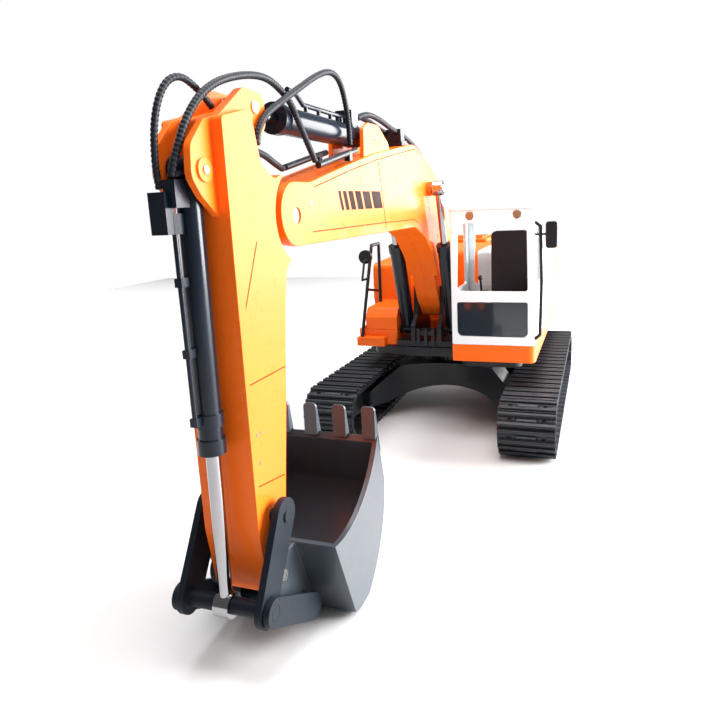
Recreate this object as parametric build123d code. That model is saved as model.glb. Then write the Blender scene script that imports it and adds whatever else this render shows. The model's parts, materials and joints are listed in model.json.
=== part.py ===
from build123d import *
import os
from math import atan2, cos, pi, radians, sin, tan

# Remote-controlled toy excavator, about 1:16. Millimetres. The machine frame has +X forward, +Y to the
# machine's left, +Z up, the slew axis at X = Y = 0 and the ground at Z = 0. The saved parts are moved back
# along X by CENTRE_X, so that the whole toy is centred over the origin.

# Driving dimensions
TRACK_SPAN = 195.0  # over both tracks
SHOE_WIDTH = 41.0
TRACK_LENGTH = 283.4
TRACK_HEIGHT = 44.0
BODY_WIDTH = 160.0
ARM_Y = -15.5  # the middle plane of boom, stick and bucket
BOOM_WIDTH = 24.8
STICK_WIDTH = 25.5
BUCKET_WIDTH = 71.0
CENTRE_X = 119.3

RUN = 0.05  # radial clearance of a pin in a hole
WALL = 2.4

# Pivots of the arm, as (X, Z) in its middle plane
BOOM_FOOT = (26.0, 98.0)
BOOM_PIN = (88.0, 198.5)  # rod ends of the boom cylinders
BOOM_CYLINDER_BASE = (46.0, 78.0)
STICK_PIVOT = (314.7, 184.9)
ARM_CYLINDER_BASE = (203.0, 227.0)
STICK_TOP = (338.0, 228.0)  # rod end of the arm cylinder
BUCKET_CYLINDER_BASE = (375.5, 202.6)
BUCKET_PIVOT = (357.0, 36.0)
ROCKER_PIVOT = (357.7, 63.9)
ROCKER_END = (377.0, 33.0)
LINK_END = (343.0, 13.0)

# Every closed linkage is open at one pivot, where an oversize eye surrounds the pin. The eye's centre is off
# the pin by (dX, dZ) at rest, and drifts round it by up to the drift given here.
BOOM_EYE_SHIFT = (-0.79, 0.90)
BOOM_EYE_DRIFT = 1.43
ARM_EYE_SHIFT = (0.79, 0.95)
ARM_EYE_DRIFT = 1.90
BUCKET_EYE_SHIFT = (-0.93, 0.93)
BUCKET_EYE_DRIFT = 1.32
LINK_EYE_SHIFT = (0.68, 2.03)
LINK_EYE_DRIFT = 2.15
EYE_SLACK = 0.3

SIDES = {"left": 1, "right": -1}


# Helpers


def save(name, *solids):
    """Write one node, centred over the origin along X."""
    moved = [s.moved(Location((-CENTRE_X, 0, 0))) for shape in solids for s in shape.solids()]
    export_step(moved[0] if len(moved) == 1 else Compound(children=moved), f"parts/{name}.step")
    saved.extend(moved)


def shifted(point, by):
    return (point[0] + by[0], point[1] + by[1])


def outline(points):
    """A closed outline of (u, v) or (u, v, corner radius) points."""
    corners = [(p[0], p[1]) for p in points]
    radii = [p[2] if len(p) > 2 else 0 for p in points]
    return make_face(FilletPolyline(*corners, radius=radii, close=True))


def block(x0, x1, y0, y1, z0, z1):
    return Pos((x0 + x1) / 2, (y0 + y1) / 2, (z0 + z1) / 2) * Box(x1 - x0, y1 - y0, z1 - z0)


def side_face(face, y0, y1):
    """A face drawn in X and Z, made solid from y0 to y1."""
    plane = Plane(origin=(0, y1, 0), x_dir=(1, 0, 0), z_dir=(0, -1, 0))
    return extrude(plane * face, amount=y1 - y0)


def side_plate(points, y0, y1):
    return side_face(outline(points), y0, y1)


def front_plate(points, x0, x1):
    """An outline in Y and Z, made solid from x0 to x1."""
    plane = Plane(origin=(x0, 0, 0), x_dir=(0, 1, 0), z_dir=(1, 0, 0))
    return extrude(plane * outline(points), amount=x1 - x0)


def top_plate(points, z0, z1):
    return extrude(Pos(0, 0, z0) * outline(points), amount=z1 - z0)


def cross_pin(point, r, y0, y1):
    """A cylinder along Y through an (X, Z) point."""
    return Pos(point[0], (y0 + y1) / 2, point[1]) * Rot(90, 0, 0) * Cylinder(r, y1 - y0)


def upright(x, y, r, z0, z1):
    return Pos(x, y, (z0 + z1) / 2) * Cylinder(r, z1 - z0)


def round_bar(a, b, r):
    """A cylinder from point a to point b."""
    a, b = Vector(*a), Vector(*b)
    length = (b - a).length
    return Plane(origin=a, z_dir=b - a) * Pos(0, 0, length / 2) * Cylinder(r, length)


def between(a, b, distance):
    """The point that lies this distance from a towards b."""
    length = ((b[0] - a[0]) ** 2 + (b[1] - a[1]) ** 2) ** 0.5
    return (a[0] + (b[0] - a[0]) * distance / length, a[1] + (b[1] - a[1]) * distance / length)


def at_y(point, y):
    return (point[0], y, point[1])


def from_arm(offset):
    return ARM_Y + offset


def rounded(part, axis, radius):
    """The part with its edges along one axis rounded."""
    return fillet(part.edges().filter_by(axis), radius)


def tube(name, points, r):
    """A hose along straight runs joined by tangent arcs, each as large as its two runs allow."""
    path_points = [Vector(*p) for p in points]
    runs = [path_points[i + 1] - path_points[i] for i in range(len(path_points) - 1)]
    radii = []
    for before, after in zip(runs, runs[1:]):
        turn = radians(before.get_angle(after))
        radii.append(0.45 * min(before.length, after.length) / tan(turn / 2))
    path = FilletPolyline(*path_points, radius=radii)
    start = Plane(origin=path_points[0], z_dir=runs[0])
    hose = sweep(start * Circle(r), path=path)
    print(f"{name}: length {path.length:.1f}, radii {[round(q, 1) for q in radii]},",
          f"volume / (section x length) {hose.volume / (pi * r * r * path.length):.4f}")
    return hose


# Tracks

WHEEL_Z = TRACK_HEIGHT / 2
WHEEL_X = TRACK_LENGTH / 2 - TRACK_HEIGHT / 2
TRACK_Y = TRACK_SPAN / 2 - SHOE_WIDTH / 2
SHOES = 50
BELT_INSIDE = 16.4  # radius of the belt's inner face
SHOE_BASE = 18.4  # radius of the bottom of the gap between two shoes
SHOE_PLATE = 20.2
GROUSER = TRACK_HEIGHT / 2
WHEEL_RADIUS = BELT_INSIDE - 0.4
AXLE = 3.0
ROLLER_X = 40.0
ROLLER_RADIUS = 5.2
FLANGE_GAP = 6.9  # from the track's middle to the inner faces of the frame's flanges
FLANGE = 2.6


def belt_point(share, radius):
    """A point of the track's loop, by its share of the way round and its radius about the wheels."""
    straight = 2 * WHEEL_X
    bend = pi * SHOE_PLATE
    s = (share % 1.0) * 2 * (straight + bend)
    if s < straight:
        return (WHEEL_X - s, WHEEL_Z + radius)
    if s < straight + bend:
        angle = pi / 2 + (s - straight) / SHOE_PLATE
        return (-WHEEL_X + radius * cos(angle), WHEEL_Z + radius * sin(angle))
    if s < 2 * straight + bend:
        return (-WHEEL_X + s - straight - bend, WHEEL_Z - radius)
    angle = 3 * pi / 2 + (s - 2 * straight - bend) / SHOE_PLATE
    return (WHEEL_X + radius * cos(angle), WHEEL_Z + radius * sin(angle))


def belt(y):
    """One belt: shoes with two grouser bars each, as one closed ring."""
    steps = (
        (0.00, SHOE_BASE),
        (0.06, SHOE_BASE),
        (0.07, GROUSER),
        (0.27, GROUSER),
        (0.28, SHOE_PLATE),
        (0.72, SHOE_PLATE),
        (0.73, GROUSER),
        (0.93, GROUSER),
        (0.94, SHOE_BASE),
    )
    points = [belt_point((shoe + along) / SHOES, radius) for shoe in range(SHOES) for along, radius in steps]
    outside = make_face(Polyline(*points, close=True))
    inside = Pos(0, WHEEL_Z) * SlotCenterToCenter(2 * WHEEL_X, 2 * BELT_INSIDE)
    return side_face(outside - inside, y - SHOE_WIDTH / 2, y + SHOE_WIDTH / 2)


def track_frame(y, side):
    """An inverted channel: two flanges that hold the idler's and the rollers' axles, and a web on top."""
    flange_points = [
        (-94, 10, 3),
        (WHEEL_X + 2, 14, 6),
        (WHEEL_X + 8, WHEEL_Z, 6),
        (WHEEL_X + 2, 30, 6),
        (90, 33, 4),
        (-94, 33, 3),
    ]
    frame = block(-94, 96, y - FLANGE_GAP - 1, y + FLANGE_GAP + 1, 29, 33)
    for low in (y - FLANGE_GAP - FLANGE, y + FLANGE_GAP):
        frame += side_plate(flange_points, low, low + FLANGE)
    frame += cross_pin((WHEEL_X, WHEEL_Z), AXLE, y - FLANGE_GAP - 1, y + FLANGE_GAP + 1)
    for x in (-ROLLER_X, ROLLER_X):
        frame += cross_pin((x, roller_z()), 1.6, y - FLANGE_GAP - 1, y + FLANGE_GAP + 1)
    for x in (-80, 0, 80):
        frame += cross_pin((x, roller_z()), ROLLER_RADIUS - 0.4, y - FLANGE_GAP, y + FLANGE_GAP)
        frame += block(x - 2, x + 2, y - FLANGE_GAP, y + FLANGE_GAP, roller_z(), 31)
    inner = y - side * (FLANGE_GAP + FLANGE)
    bracket = (min(inner, inner - side * 6.5), max(inner, inner - side * 6.5))
    frame += block(-86, 86, *bracket, 15, 29)
    return frame


def roller_z():
    return WHEEL_Z - BELT_INSIDE + ROLLER_RADIUS + 0.3


def ring_wheel(x, z, y, radius, width, bore):
    """An idler or a roller: a spoked disc with a rim and a bored hub."""
    wheel = cross_pin((x, z), radius, y - width / 2, y + width / 2)
    dish = radius * 0.78
    for low, high in ((y - width / 2 - 1, y - width * 0.18), (y + width * 0.18, y + width / 2 + 1)):
        wheel -= cross_pin((x, z), dish, low, high) - cross_pin((x, z), bore + radius * 0.16, low, high)
    return wheel - cross_pin((x, z), bore, y - width, y + width)


def sprocket(y, side):
    """The drive wheel: teeth round a disc, on the gear motor's stub shaft."""
    teeth = 14
    tip, root = WHEEL_RADIUS, WHEEL_RADIUS - 3.2
    points = []
    for tooth in range(teeth):
        for share, radius in ((0.0, root), (0.32, root), (0.45, tip), (0.58, tip), (0.71, root)):
            angle = 2 * pi * (tooth + share) / teeth
            points.append((-WHEEL_X + radius * cos(angle), WHEEL_Z + radius * sin(angle)))
    disc = side_face(make_face(Polyline(*points, close=True)), y - 3, y + 3)
    low, high = sorted((y - side * 6, y + side * 7))
    disc += cross_pin((-WHEEL_X, WHEEL_Z), 8.5, low, high)
    for turn in range(6):
        angle = 2 * pi * turn / 6
        place = (-WHEEL_X + 10.4 * cos(angle), WHEEL_Z + 10.4 * sin(angle))
        disc -= cross_pin(place, 1.4, y - 4, y + 4)
    low, high = sorted((y - side * 6.5, y + side * 5))
    return disc - cross_pin((-WHEEL_X, WHEEL_Z), AXLE + RUN, low, high)


def drive_motor(y, side):
    """A gear motor on the inner side of the sprocket, with its stub shaft."""
    face = y - side * 6.4
    outer = face - side * 17
    motor = cross_pin((-WHEEL_X, WHEEL_Z), 11.5, min(face, outer), max(face, outer))
    motor += block(-WHEEL_X, -96, min(face, outer), max(face, outer), 13, 31)
    tip = y + side * 4.5
    return motor + cross_pin((-WHEEL_X, WHEEL_Z), AXLE, min(face, tip), max(face, tip))


def build_tracks():
    save("drive_motors", *(drive_motor(side * TRACK_Y, side) for side in SIDES.values()))
    for name, side in SIDES.items():
        y = side * TRACK_Y
        save(f"{name}_track_belt", belt(y))
        save(f"{name}_track_frame", track_frame(y, side))
        save(f"{name}_sprocket", sprocket(y, side))
        width = 2 * FLANGE_GAP - 0.6
        save(f"{name}_idler", ring_wheel(WHEEL_X, WHEEL_Z, y, WHEEL_RADIUS, width, AXLE + RUN))
        for place, x in (("front", ROLLER_X), ("rear", -ROLLER_X)):
            save(f"{name}_{place}_roller", ring_wheel(x, roller_z(), y, ROLLER_RADIUS, width, 1.6 + RUN))


# Chassis

RING_TOP = 56.0
DECK_BOTTOM = 58.0
DECK_TOP = 66.0
LEG_END = 61.0  # half the span over the chassis legs


def chassis_frame():
    """Four curved legs round a turret: an arched front view cut to an X in plan."""
    arch = make_face(
        Polyline((-40, 47), (40, 47), (LEG_END, 30), (LEG_END, 15), (52, 15))
        + ThreePointArc((52, 15), (0, 27), (-52, 15))
        + Polyline((-52, 15), (-LEG_END, 15), (-LEG_END, 30), (-40, 47))
    )
    body = extrude(Plane(origin=(-84, 0, 0), x_dir=(0, 1, 0), z_dir=(1, 0, 0)) * arch, amount=168)
    front = ThreePointArc((80, -LEG_END), (44, 0), (80, LEG_END))
    back = ThreePointArc((-80, LEG_END), (-44, 0), (-80, -LEG_END))
    left = Line((80, LEG_END), (46, LEG_END)) + ThreePointArc((46, LEG_END), (0, 40), (-46, LEG_END))
    right = Line((-80, -LEG_END), (-46, -LEG_END)) + ThreePointArc((-46, -LEG_END), (0, -40), (46, -LEG_END))
    plan = make_face(
        front + left + Line((-46, LEG_END), (-80, LEG_END)) + back + right + Line((46, -LEG_END), (80, -LEG_END))
    )
    frame = body & extrude(Pos(0, 0, 10) * plan, amount=40)
    frame -= upright(0, 0, 24, 20, 60)
    return frame


def chassis_cover():
    cover = upright(0, 0, 23.6, 27.5, 30)
    for turn in range(4):
        angle = radians(45 + 90 * turn)
        cover += upright(18 * cos(angle), 18 * sin(angle), 2.4, 30, 33)
    return cover


def slew_ring():
    ring = upright(0, 0, 37, 47, RING_TOP) - upright(0, 0, 24 + RUN, 46, 60)
    teeth = 60
    for tooth in range(teeth):
        angle = 360 * tooth / teeth
        ring += Rot(0, 0, angle) * block(36.5, 38.4, -0.9, 0.9, 48, 53)
    return ring


def build_chassis():
    save("chassis_frame", chassis_frame())
    save("chassis_cover", chassis_cover())
    save("slew_ring", slew_ring())


# Superstructure

HALF = BODY_WIDTH / 2
SKIRT_TOP = 79.1
TAIL_X = -150.0
WEIGHT_X = -112.0  # front of the counterweight
CAB_FRONT = 105.1
CAB_REAR = 42.0
CAB_RIGHT = 16.8
CAB_LEFT = 79.4
CAB_TOP = 184.0
PANEL_TOP = 146.0  # top of the side panel behind the cab
BOX_FRONT = 58.0
BOX_TOP = 98.0
BOX_INNER = -43.0
BOX_SIDE = -72.0  # outer wall of the low box, inside the handrail
HIGH_BOX_FRONT = 10.0
HIGH_BOX_TOP = 133.0
HOOD_Z = 148.0
HOUSING_FRONT = -24.0  # behind the boom's foot at full lift
FOOT_WIDTH = 18.8  # of the boom's foot
CAB_MIDDLE = (CAB_RIGHT + CAB_LEFT) / 2


def turntable():
    deck = top_plate(
        [(WEIGHT_X, -66, 8), (54, -66, 8), (64, -40, 4), (64, 12, 4), (90, 24, 6), (90, 68, 8), (WEIGHT_X, 68, 8)],
        DECK_BOTTOM,
        DECK_TOP - 0.4,
    )
    deck += upright(0, 0, 24, 48, DECK_BOTTOM)
    deck += upright(0, 0, 37, RING_TOP + 0.3, DECK_BOTTOM)
    return deck


def boom_bracket():
    """The black casting in front of the deck that holds the boom's foot and both boom cylinders."""
    low = DECK_TOP
    bracket = block(6, 62, -41.8, 12.4, low, low + 5)
    ear = [(8, low), (62, low), (62, 84, 4), (52, 92, 3), (48, 117, 2), (41, 117, 2), (33, 108, 6), (12, 107, 10)]
    for side in (-1, 1):
        a = from_arm(side * (FOOT_WIDTH / 2 + 0.4))
        b = from_arm(side * (FOOT_WIDTH / 2 + 4.0))
        plate = side_plate(ear, min(a, b), max(a, b))
        bracket += plate - cross_pin(BOOM_FOOT, 3 + RUN, -60, 60)
    base = BOOM_CYLINDER_BASE
    bracket += cross_pin(base, 1.5, from_arm(-27.2), from_arm(27.2))
    for side in (-1, 1):
        a, b = from_arm(side * 26.65), from_arm(side * 27.3)
        bracket += cross_pin(base, 4.4, min(a, b), max(a, b))
    for y in (-22.0, -15.5, -9.0):
        bracket += block(61, 64, y - 1.4, y + 1.4, low + 1, 82)
    bracket += block(58, 63, -23.5, -7.5, 76, 80)
    return bracket


def body_base():
    """The orange skirt: a tray with an outline that leaves a bay for the boom's bracket."""
    plan = [
        (WEIGHT_X + 0.2, -HALF, 2),
        (BOX_FRONT, -HALF, 5),
        (BOX_FRONT, BOX_INNER, 2),
        (4, BOX_INNER, 1),
        (4, CAB_RIGHT, 1),
        (CAB_FRONT, CAB_RIGHT, 3),
        (CAB_FRONT, CAB_LEFT, 5),
        (96, HALF, 4),
        (WEIGHT_X + 0.2, HALF, 2),
    ]
    tray = top_plate(plan, DECK_TOP, SKIRT_TOP)
    for x0, x1, y0, y1 in (
        (WEIGHT_X + 3, 1, -HALF + WALL, HALF - WALL),
        (-1, BOX_FRONT - WALL, -HALF + WALL, BOX_INNER - WALL),
        (-1, CAB_FRONT - WALL, CAB_RIGHT + WALL, CAB_LEFT - WALL),
    ):
        tray -= block(x0, x1, y0, y1, DECK_TOP + WALL, SKIRT_TOP + 1)
    step = block(BOX_FRONT - 1, BOX_FRONT + 9, -HALF + 2, BOX_INNER - 9, DECK_TOP, DECK_TOP + 7.5)
    return tray + rounded(step, Axis.Z, 1.2)


def right_body_box():
    """The low tool box and the higher tank behind it, hollow and open below."""
    z = SKIRT_TOP + 0.2
    profile = [
        (WEIGHT_X + 0.3, z),
        (BOX_FRONT - 0.5, z),
        (BOX_FRONT - 0.5, 90, 2),
        (BOX_FRONT - 7, BOX_TOP, 4),
        (HIGH_BOX_FRONT + 2, BOX_TOP, 2),
        (HIGH_BOX_FRONT, HIGH_BOX_TOP, 6),
        (WEIGHT_X + 0.3, HIGH_BOX_TOP + 4, 2),
    ]
    outer = side_plate(profile, -HALF, BOX_INNER)
    inner = side_face(offset(outline(profile), amount=-WALL), -HALF + WALL, BOX_INNER - WALL)
    inner += block(WEIGHT_X + 4, BOX_FRONT - 4, -HALF + WALL, BOX_INNER - WALL, z - 1, z + 6)
    rail_side = block(HIGH_BOX_FRONT, BOX_FRONT, -HALF, BOX_SIDE, z - 1, BOX_TOP + 1)
    outer -= rail_side
    inner -= rail_side + block(HIGH_BOX_FRONT - WALL, BOX_FRONT, -HALF, BOX_SIDE + WALL, z - 1, BOX_TOP + 1)
    vents = [block(x, x + 3, -HALF - 1, -HALF + 1.1, 104, 124) for x in range(-96, -20, 7)]
    box = outer - inner
    for vent in vents:
        box -= vent
    switch_slot = block(-44, -32, -66, -60, HIGH_BOX_TOP - 8, HIGH_BOX_TOP + 12)
    return box - switch_slot


def engine_housing():
    """The middle housing, open on top for the battery."""
    z = SKIRT_TOP + 0.2
    profile = [
        (WEIGHT_X + 0.3, z),
        (0, z),
        (0, 89, 3),
        (HOUSING_FRONT, 89, 3),
        (HOUSING_FRONT, 140, 8),
        (HOUSING_FRONT - 14, HOOD_Z, 5),
        (WEIGHT_X + 0.3, HOOD_Z),
    ]
    low, high = BOX_INNER + 0.3, 26.0
    outer = side_plate(profile, low, high)
    inner = side_face(offset(outline(profile), amount=-WALL), low + WALL, high - WALL)
    inner += block(WEIGHT_X + 4, -4, low + WALL, high - WALL, z - 1, z + 6)
    hatch = block(-100, HOUSING_FRONT - 21, -34, 18, HOOD_Z - 8, HOOD_Z + 4)
    housing = outer - inner - hatch
    return housing


def left_side_panel():
    """The pale panel behind the cab, with an air grille and a handle recess."""
    z = SKIRT_TOP + 0.2
    profile = [
        (WEIGHT_X + 0.3, z),
        (CAB_REAR - 0.5, z),
        (CAB_REAR - 0.5, PANEL_TOP, 3),
        (-70, PANEL_TOP, 16),
        (WEIGHT_X + 0.3, PANEL_TOP - 8, 3),
    ]
    outer = side_plate(profile, 26.3, HALF)
    inner = side_face(offset(outline(profile), amount=-WALL), 26.3 + WALL, HALF - WALL)
    inner += block(WEIGHT_X + 4, CAB_REAR - 4, 26.3 + WALL, HALF - WALL, z - 1, z + 6)
    panel = outer - inner
    for x in range(-98, -34, 7):
        panel -= block(x, x + 3.2, HALF - 1.1, HALF + 1, 96, 130)
    handle = side_plate([(4, 104), (9, 104), (20, 122), (20, 138), (15, 138), (15, 124)], HALF - 1.0, HALF + 1)
    return panel - handle


def counterweight():
    plan = make_face(
        Polyline((WEIGHT_X, HALF), (WEIGHT_X, -HALF), (-134, -HALF))
        + ThreePointArc((-134, -HALF), (TAIL_X, 0), (-134, HALF))
        + Line((-134, HALF), (WEIGHT_X, HALF))
    )
    weight = extrude(Pos(0, 0, DECK_TOP) * plan, amount=76)
    weight = fillet(weight.faces().sort_by(Axis.Z)[-1].edges(), 5)
    for y in (-52, 52):
        weight -= upright(-128, y, 3.0, 128, 150)
    return weight


def cab_shell():
    """The cab's frame: open windscreen, side and rear windows and doorway."""
    depth = (CAB_REAR, CAB_FRONT)
    z0, z1 = SKIRT_TOP + 0.2, CAB_TOP - 3
    shell = rounded(block(*depth, CAB_RIGHT, CAB_LEFT, z0, z1), Axis.Z, 3)
    shell -= block(CAB_REAR + WALL, CAB_FRONT - WALL, CAB_RIGHT + WALL, CAB_LEFT - WALL, z0 + WALL, z1 + 1)
    half = (CAB_LEFT - CAB_RIGHT) / 2 - 4.7
    windscreen = [
        (CAB_MIDDLE - half, 120.4, 2.5),
        (CAB_MIDDLE + half, 120.4, 2.5),
        (CAB_MIDDLE + half - 0.8, 171.7, 2.5),
        (CAB_MIDDLE - half + 1.6, 171.7, 2.5),
    ]
    lower = [
        (CAB_MIDDLE - half, 85.6, 4),
        (CAB_MIDDLE + half, 85.6, 4),
        (CAB_MIDDLE + half, 112.4, 1.5),
        (CAB_MIDDLE - half, 112.4, 1.5),
    ]
    shell -= front_plate(windscreen, CAB_FRONT - 6, CAB_FRONT + 2)
    shell -= front_plate(lower, CAB_FRONT - 6, CAB_FRONT + 2)
    rear = [(CAB_RIGHT + 7, 118, 3), (CAB_LEFT - 7, 118, 3), (CAB_LEFT - 8, 172, 3), (CAB_RIGHT + 8, 172, 3)]
    shell -= front_plate(rear, CAB_REAR - 2, CAB_REAR + 4)
    side = [(52, 120, 3), (97, 120, 3), (96, 172, 4), (54, 172, 4)]
    shell -= side_plate(side, CAB_RIGHT - 2, CAB_RIGHT + 5)
    shell -= side_plate(door_outline(-0.4), CAB_LEFT - 5, CAB_LEFT + 2)
    for y in (32.3, 67.0):
        shell -= Pos(CAB_FRONT, y, 177) * Rot(0, 90, 0) * Cylinder(3.1, 2.4)
    return shell


def cab_roof():
    roof = rounded(block(CAB_REAR - 1, CAB_FRONT + 0.6, CAB_RIGHT - 0.6, CAB_LEFT + 0.6, CAB_TOP - 3, CAB_TOP), Axis.Z, 4)
    roof = fillet(roof.faces().sort_by(Axis.Z)[-1].edges(), 1.6)
    hatch = rounded(block(56, 92, 30, 66, CAB_TOP - 1, CAB_TOP + 1.4), Axis.Z, 4)
    return roof + hatch


DOOR_REAR = 53.0
DOOR_FRONT = 98.0


def door_outline(margin):
    return [
        (DOOR_REAR + margin, 84 + margin, 3),
        (DOOR_FRONT - margin, 84 + margin, 3),
        (DOOR_FRONT - margin, 174 - margin, 5),
        (DOOR_REAR + margin, 174 - margin, 5),
    ]


def cab_door():
    """The door with its window and grip, hinged on two knuckles at its rear edge."""
    door = side_plate(door_outline(0.1), CAB_LEFT - WALL, CAB_LEFT + 0.6)
    door -= side_plate([(59, 122, 3), (92, 122, 3), (92, 168, 4), (59, 168, 4)], CAB_LEFT - 5, CAB_LEFT + 3)
    door += side_plate([(84, 108, 1), (92, 108, 1), (92, 112, 1), (84, 112, 1)], CAB_LEFT, CAB_LEFT + 2.2)
    for z in (96, 158):
        door += upright(DOOR_REAR + 1.2, CAB_LEFT + 1.2, 1.5, z - 4, z + 4)
    return door


def cab_glass():
    """The fixed panes: lower front, right side and rear, set just inside the frame."""
    half = (CAB_LEFT - CAB_RIGHT) / 2 - 5.0
    front = front_plate(
        [
            (CAB_MIDDLE - half, 86, 3.8),
            (CAB_MIDDLE + half, 86, 3.8),
            (CAB_MIDDLE + half, 112, 1.3),
            (CAB_MIDDLE - half, 112, 1.3),
        ],
        CAB_FRONT - WALL,
        CAB_FRONT - 0.8,
    )
    return front


def seat():
    """A cushion and a tall back on a pedestal, one moulding."""
    y0, y1 = 42.5, 71.0
    back = rounded(block(62, 70, y0, y1, 100, 163.5), Axis.X, 4)
    cushion = rounded(block(62, 92, y0, y1, 100, 108), Axis.Z, 3)
    pedestal = block(64, 88, y0 + 4, y1 - 4, SKIRT_TOP + 0.2 + WALL, 101)
    return back + cushion + pedestal


def control_levers():
    """Two consoles, each with a lever that leans forward and ends in a knob."""
    levers = []
    for y, lever_x in ((37.0, 84.0), (74.2, 84.0)):
        lever = block(66, 90, y - 2.2, y + 2.2, SKIRT_TOP + 0.2 + WALL, 116)
        lever += round_bar((lever_x, y, 115), (lever_x + 5, y, 128), 0.9)
        lever += Pos(lever_x + 5.4, y, 129) * Sphere(2.0)
        levers.append(lever)
    return levers


def grab_bar(points, r):
    """A bent round bar along straight runs, with ball corners."""
    bar = round_bar(points[0], points[1], r)
    for a, b in zip(points[1:], points[2:]):
        bar += round_bar(a, b, r) + Pos(*a) * Sphere(r)
    return bar


def cab_handrail():
    x, y = CAB_FRONT - 2.5, CAB_LEFT + 4.0
    foot = CAB_LEFT + 0.05
    rail = grab_bar([(x - 2, foot, 84), (x, y, 88), (x, y + 1.0, 128), (x - 0.2, y, 168), (x - 1, foot, 171)], 1.3)
    return rail & block(0, 200, foot, 120, 0, 200)


def cab_mirror():
    """The rounded mirror head on a short arm from the handrail corner."""
    head = rounded(block(101, 104.6, 87.2, 95.2, 152, 171), Axis.X, 2)
    arm = round_bar((99.9, CAB_LEFT + 0.05, 162), (99.9, 90, 162), 0.9)
    return head + arm + block(99.5, 102, 88.5, 91.5, 160.5, 163.5)


def headlights():
    return [Pos(CAB_FRONT - 0.2, y, 177) * Rot(0, 90, 0) * Cylinder(2.6, 1.8) for y in (32.3, 67.0)]


def right_handrail():
    """The hoop beside the steps on the machine's right, with a cross bar and the lamp's small loop."""
    foot, front_top, rear_top, rear_foot = (63, -74, 73.55), (31, -73, 152), (17, -71, 152.5), (19, -71, 98.05)
    rail = grab_bar([foot, front_top, rear_top, rear_foot], 1.5)
    rail += round_bar((46.7, -73.5, 113.5), (18.6, -71, 108.5), 1.2)
    rail += grab_bar([(35.2, -73.1, 141), (40, -77.5, 138), (47, -77.5, 122), (42.5, -73.6, 123)], 1.0)
    rail += Pos(37.4, -77.0, 142) * Rot(0, 90, 0) * Cylinder(6.2, 3)
    return rail & block(-50, 100, -100, 0, DECK_TOP + 7.55, 200)


def exhaust():
    pipe = upright(-70, -38, 4.2, HOOD_Z + 0.1, HOOD_Z + 12) + upright(-70, -38, 3.2, HOOD_Z + 12, HOOD_Z + 20)
    return pipe - upright(-70, -38, 2.2, HOOD_Z + 8, HOOD_Z + 30)


def engine_hood():
    """The hatch over the battery, hinged along its rear edge."""
    hood = rounded(block(-102, HOUSING_FRONT - 17, -33.7, 21, HOOD_Z + 0.3, HOOD_Z + 3.3), Axis.Z, 4)
    hood = fillet(hood.faces().sort_by(Axis.Z)[-1].edges(), 1.0)
    for low in (-26, 8):
        hood += round_bar((-103, low, HOOD_Z + 1.9), (-103, low + 8, HOOD_Z + 1.9), 1.5)
    for x in range(-90, -50, 8):
        hood += rounded(block(x, x + 4, -26, 14, HOOD_Z + 3, HOOD_Z + 4.6), Axis.Z, 1)
    return hood


def power_switch():
    low = HIGH_BOX_TOP - 1.5
    return block(-43.8, -38.8, -65.8, -60.2, low, low + 5.5)


def battery_pack():
    floor = DECK_TOP + WALL + 0.1
    cells = block(-104, -52.5, -28, 14, floor, floor + 18)
    return rounded(cells, Axis.X, 5)


def circuit_board():
    floor, top = DECK_TOP + WALL + 0.1, 96.0
    board = block(-106.5, -49, -30, 16, top, top + 1.6)
    for x, y, size in ((-92, -16, 7), (-78, 2, 9), (-62, -12, 6)):
        board += block(x, x + size, y, y + size, top + 1.6, top + 4)
    for x in (-105.3, -50.5):
        for y in (-28, 14):
            board += upright(x, y, 1.1, floor, top)
    return board


def slew_motor():
    floor = DECK_TOP + WALL + 0.1
    return upright(-37, 6, 8.5, floor, floor + 30) + upright(-37, 6, 4, floor + 30, floor + 34)


def build_superstructure():
    save("turntable", turntable())
    save("boom_bracket", boom_bracket())
    save("body_base", body_base())
    save("right_body_box", right_body_box())
    save("engine_housing", engine_housing())
    save("left_side_panel", left_side_panel())
    save("counterweight", counterweight())
    save("cab_shell", cab_shell())
    save("cab_roof", cab_roof())
    save("cab_door", cab_door())
    save("cab_glass", cab_glass())
    save("seat", seat())
    save("control_levers", *control_levers())
    save("cab_handrail", cab_handrail())
    save("cab_mirror", cab_mirror())
    save("headlights", *headlights())
    save("right_handrail", right_handrail())
    save("exhaust", exhaust())
    save("engine_hood", engine_hood())
    save("power_switch", power_switch())
    save("battery_pack", battery_pack())
    save("circuit_board", circuit_board())
    save("slew_motor", slew_motor())


# Boom

BOOM_HALF = BOOM_WIDTH / 2
FORK_INSIDE = 8.0  # half the gap between the boom's ears
FORK_RADIUS = 15.0
FOOT_TOP = 128.0


def boom_outline():
    return [
        (12, 92, 8),
        (36, 88, 8),
        (53, 106, 30),
        (73, 142, 60),
        (99.5, 162, 20),
        (126, 171, 30),
        (193, 171, 60),
        (307, 171.5, 30),
        (329.5, 171.5, 14.0),
        (329.5, 199.6, 14.0),
        (300, 199.6, 20),
        (249.5, 210, 60),
        (207, 218, 80),
        (124, 229.5, 40),
        (62, 211, 60),
        (4, 148, 25),
    ]


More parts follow.
